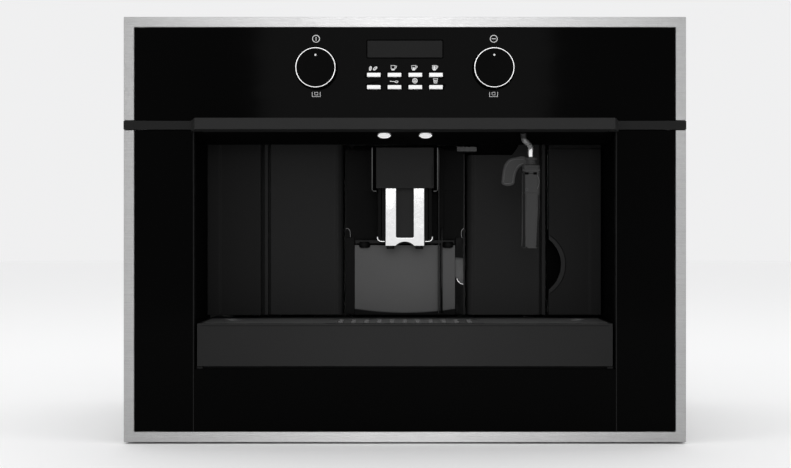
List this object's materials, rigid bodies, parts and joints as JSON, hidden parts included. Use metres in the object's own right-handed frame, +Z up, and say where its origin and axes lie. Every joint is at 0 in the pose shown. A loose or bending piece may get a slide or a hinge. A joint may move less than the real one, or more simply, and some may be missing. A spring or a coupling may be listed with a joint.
{
  "type": "built-in coffee machine",
  "caption": "Pull-out built-in bean-to-cup coffee machine with a trimmed black glass front, lit cup bay, coffee spout, steam wand, drip tray, water tank and brewing parts.",
  "frame": {"origin": "middle of the machine's footprint, on the flat underside of the runner base that stands on the niche floor", "axes": "+Z up, the front and its handle face -Y, +X to the right of a person standing in front"},
  "size_m": [0.595, 0.435, 0.452],
  "materials": {
    "brushed_steel": "horizontally brushed stainless steel",
    "chrome": "bright plated",
    "galvanised": "galvanised sheet steel with a fine spangle",
    "black_glass": "back-painted black glass, opaque and glossy",
    "anthracite": "satin anthracite lacquer on metal",
    "black_plastic": "fine-grained moulded black plastic",
    "grey_plastic": "fine-grained moulded dark grey plastic",
    "dark_metal": "satin dark grey lacquer on metal",
    "white": "lit white plastic",
    "smoked": "smoked clear plastic",
    "brass": "turned brass"
  },
  "bodies": {
    "base": {"rail_base": "galvanised"},
    "middle_rails": {"middle_rail_left": "galvanised", "middle_rail_right": "galvanised"},
    "machine": {"chassis_floor": "galvanised", "side_panel_left": "galvanised", "side_panel_right": "galvanised", "rear_panel": "galvanised", "top_cover": "galvanised", "upper_trim_frame": "brushed_steel", "lower_trim_frame": "brushed_steel", "control_glass": "black_glass", "lower_glass_panel": "black_glass", "left_glass_panel": "black_glass", "right_glass_panel": "black_glass", "pull_handle": "anthracite", "control_carrier": "black_plastic", "display_module": "black_plastic", "niche_wall_left": "grey_plastic", "niche_wall_right": "grey_plastic", "lamp_panel": "black_plastic", "lamp_lens_left": "white", "lamp_lens_right": "white", "left_cheek_panel": "grey_plastic", "left_shoulder_panel": "grey_plastic", "right_shoulder_panel": "grey_plastic", "tray_shelf": "grey_plastic", "boiler": "black_plastic", "pump": "galvanised", "grinder_body": "black_plastic", "bean_hopper": "smoked", "brew_frame": "black_plastic"},
    "tray": {"drip_tray": "dark_metal"},
    "grille": {"cup_grille": "dark_metal"},
    "float": {"tray_float": "white"},
    "container": {"grounds_container": "black_plastic"},
    "tank": {"water_tank": "smoked", "tank_front": "grey_plastic"},
    "door": {"service_door": "black_plastic", "splash_plate": "brushed_steel", "spout_housing": "grey_plastic", "spout_trim": "chrome"},
    "spout": {"spout_carriage": "grey_plastic"},
    "wand": {"steam_tube": "chrome", "wand_grip": "grey_plastic"},
    "frother": {"frother_sleeve": "grey_plastic"},
    "left_knob": {"knob_left": "black_plastic"},
    "right_knob": {"knob_right": "black_plastic"},
    "key_button_1": {"key_1": "white"},
    "key_button_2": {"key_2": "white"},
    "key_button_3": {"key_3": "white"},
    "key_button_4": {"key_4": "white"},
    "key_button_5": {"key_5": "white"},
    "key_button_6": {"key_6": "white"},
    "key_button_7": {"key_7": "white"},
    "key_button_8": {"key_8": "white"},
    "lid": {"hopper_lid": "black_plastic"},
    "grind_selector": {"grind_dial": "black_plastic"},
    "burr": {"grinder_burr": "brushed_steel"},
    "spindle": {"brew_spindle": "brass"},
    "piston": {"brew_piston": "brass"}
  },
  "joints": [
    {"name": "machine_slide", "type": "slide", "parent": "base", "child": "machine", "axis": [0, -1, 0], "range_m": [0, 0.3]},
    {"name": "middle_rail_slide", "type": "slide", "parent": "base", "child": "middle_rails", "axis": [0, -1, 0], "range_m": [0, 0.15]},
    {"name": "tray_slide", "type": "slide", "parent": "machine", "child": "tray", "axis": [0, -1, 0], "range_m": [0, 0.28]},
    {"name": "grille_lift", "type": "slide", "parent": "tray", "child": "grille", "axis": [0, 0, 1], "range_m": [0, 0.03]},
    {"name": "float_rise", "type": "slide", "parent": "tray", "child": "float", "axis": [0, 0, 1], "range_m": [0, 0.01]},
    {"name": "container_lift", "type": "slide", "parent": "tray", "child": "container", "axis": [0, 0, 1], "range_m": [0, 0.04]},
    {"name": "tank_slide", "type": "slide", "parent": "machine", "child": "tank", "axis": [0, -1, 0], "range_m": [0, 0.25]},
    {"name": "door_hinge", "type": "hinge", "parent": "machine", "child": "door", "pos_m": [-0.0675, -0.0745, 0.224], "axis": [0, 0, -1], "range_deg": [0, 95]},
    {"name": "spout_slide", "type": "slide", "parent": "door", "child": "spout", "axis": [0, 0, 1], "range_m": [0, 0.035]},
    {"name": "wand_tilt", "type": "hinge", "parent": "machine", "child": "wand", "pos_m": [0.126, -0.1745, 0.3248], "axis": [-1, 0, 0], "range_deg": [0, 25]},
    {"name": "frother_pull", "type": "slide", "parent": "wand", "child": "frother", "axis": [0, 0, -1], "range_m": [0, 0.045]},
    {"name": "left_knob_turn", "type": "hinge", "parent": "machine", "child": "left_knob", "pos_m": [-0.0938, -0.1825, 0.397], "axis": [0, 1, 0], "continuous": true},
    {"name": "right_knob_turn", "type": "hinge", "parent": "machine", "child": "right_knob", "pos_m": [0.0938, -0.1825, 0.397], "axis": [0, 1, 0], "continuous": true},
    {"name": "key_1_press", "type": "slide", "parent": "machine", "child": "key_button_1", "axis": [0, 1, 0], "range_m": [0, 0.0008], "stiffness_N_per_m": 500},
    {"name": "key_2_press", "type": "slide", "parent": "machine", "child": "key_button_2", "axis": [0, 1, 0], "range_m": [0, 0.0008], "stiffness_N_per_m": 500},
    {"name": "key_3_press", "type": "slide", "parent": "machine", "child": "key_button_3", "axis": [0, 1, 0], "range_m": [0, 0.0008], "stiffness_N_per_m": 500},
    {"name": "key_4_press", "type": "slide", "parent": "machine", "child": "key_button_4", "axis": [0, 1, 0], "range_m": [0, 0.0008], "stiffness_N_per_m": 500},
    {"name": "key_5_press", "type": "slide", "parent": "machine", "child": "key_button_5", "axis": [0, 1, 0], "range_m": [0, 0.0008], "stiffness_N_per_m": 500},
    {"name": "key_6_press", "type": "slide", "parent": "machine", "child": "key_button_6", "axis": [0, 1, 0], "range_m": [0, 0.0008], "stiffness_N_per_m": 500},
    {"name": "key_7_press", "type": "slide", "parent": "machine", "child": "key_button_7", "axis": [0, 1, 0], "range_m": [0, 0.0008], "stiffness_N_per_m": 500},
    {"name": "key_8_press", "type": "slide", "parent": "machine", "child": "key_button_8", "axis": [0, 1, 0], "range_m": [0, 0.0008], "stiffness_N_per_m": 500},
    {"name": "hopper_lid_hinge", "type": "hinge", "parent": "machine", "child": "lid", "pos_m": [0.1125, 0.0985, 0.443], "axis": [-1, 0, 0], "range_deg": [0, 95]},
    {"name": "grind_dial_turn", "type": "hinge", "parent": "machine", "child": "grind_selector", "pos_m": [0.222, 0.0175, 0.44], "axis": [0, 0, 1], "range_deg": [0, 270]},
    {"name": "burr_spin", "type": "hinge", "parent": "machine", "child": "burr", "pos_m": [0.112, 0.0175, 0.33], "axis": [0, 0, 1], "continuous": true},
    {"name": "spindle_spin", "type": "hinge", "parent": "machine", "child": "spindle", "pos_m": [0.038, 0.0225, 0.25], "axis": [0, 0, 1], "range_deg": [0, 1621]},
    {"name": "piston_press", "type": "slide", "parent": "machine", "child": "piston", "axis": [0, 0, -1], "range_m": [0, 0.045]}
  ],
  "couplings": [
    {"joint": "middle_rail_slide", "follows": "machine_slide", "ratio": 0.5},
    {"joint": "spindle_spin", "follows": "piston_press", "rad_per_m": 628.32}
  ]
}
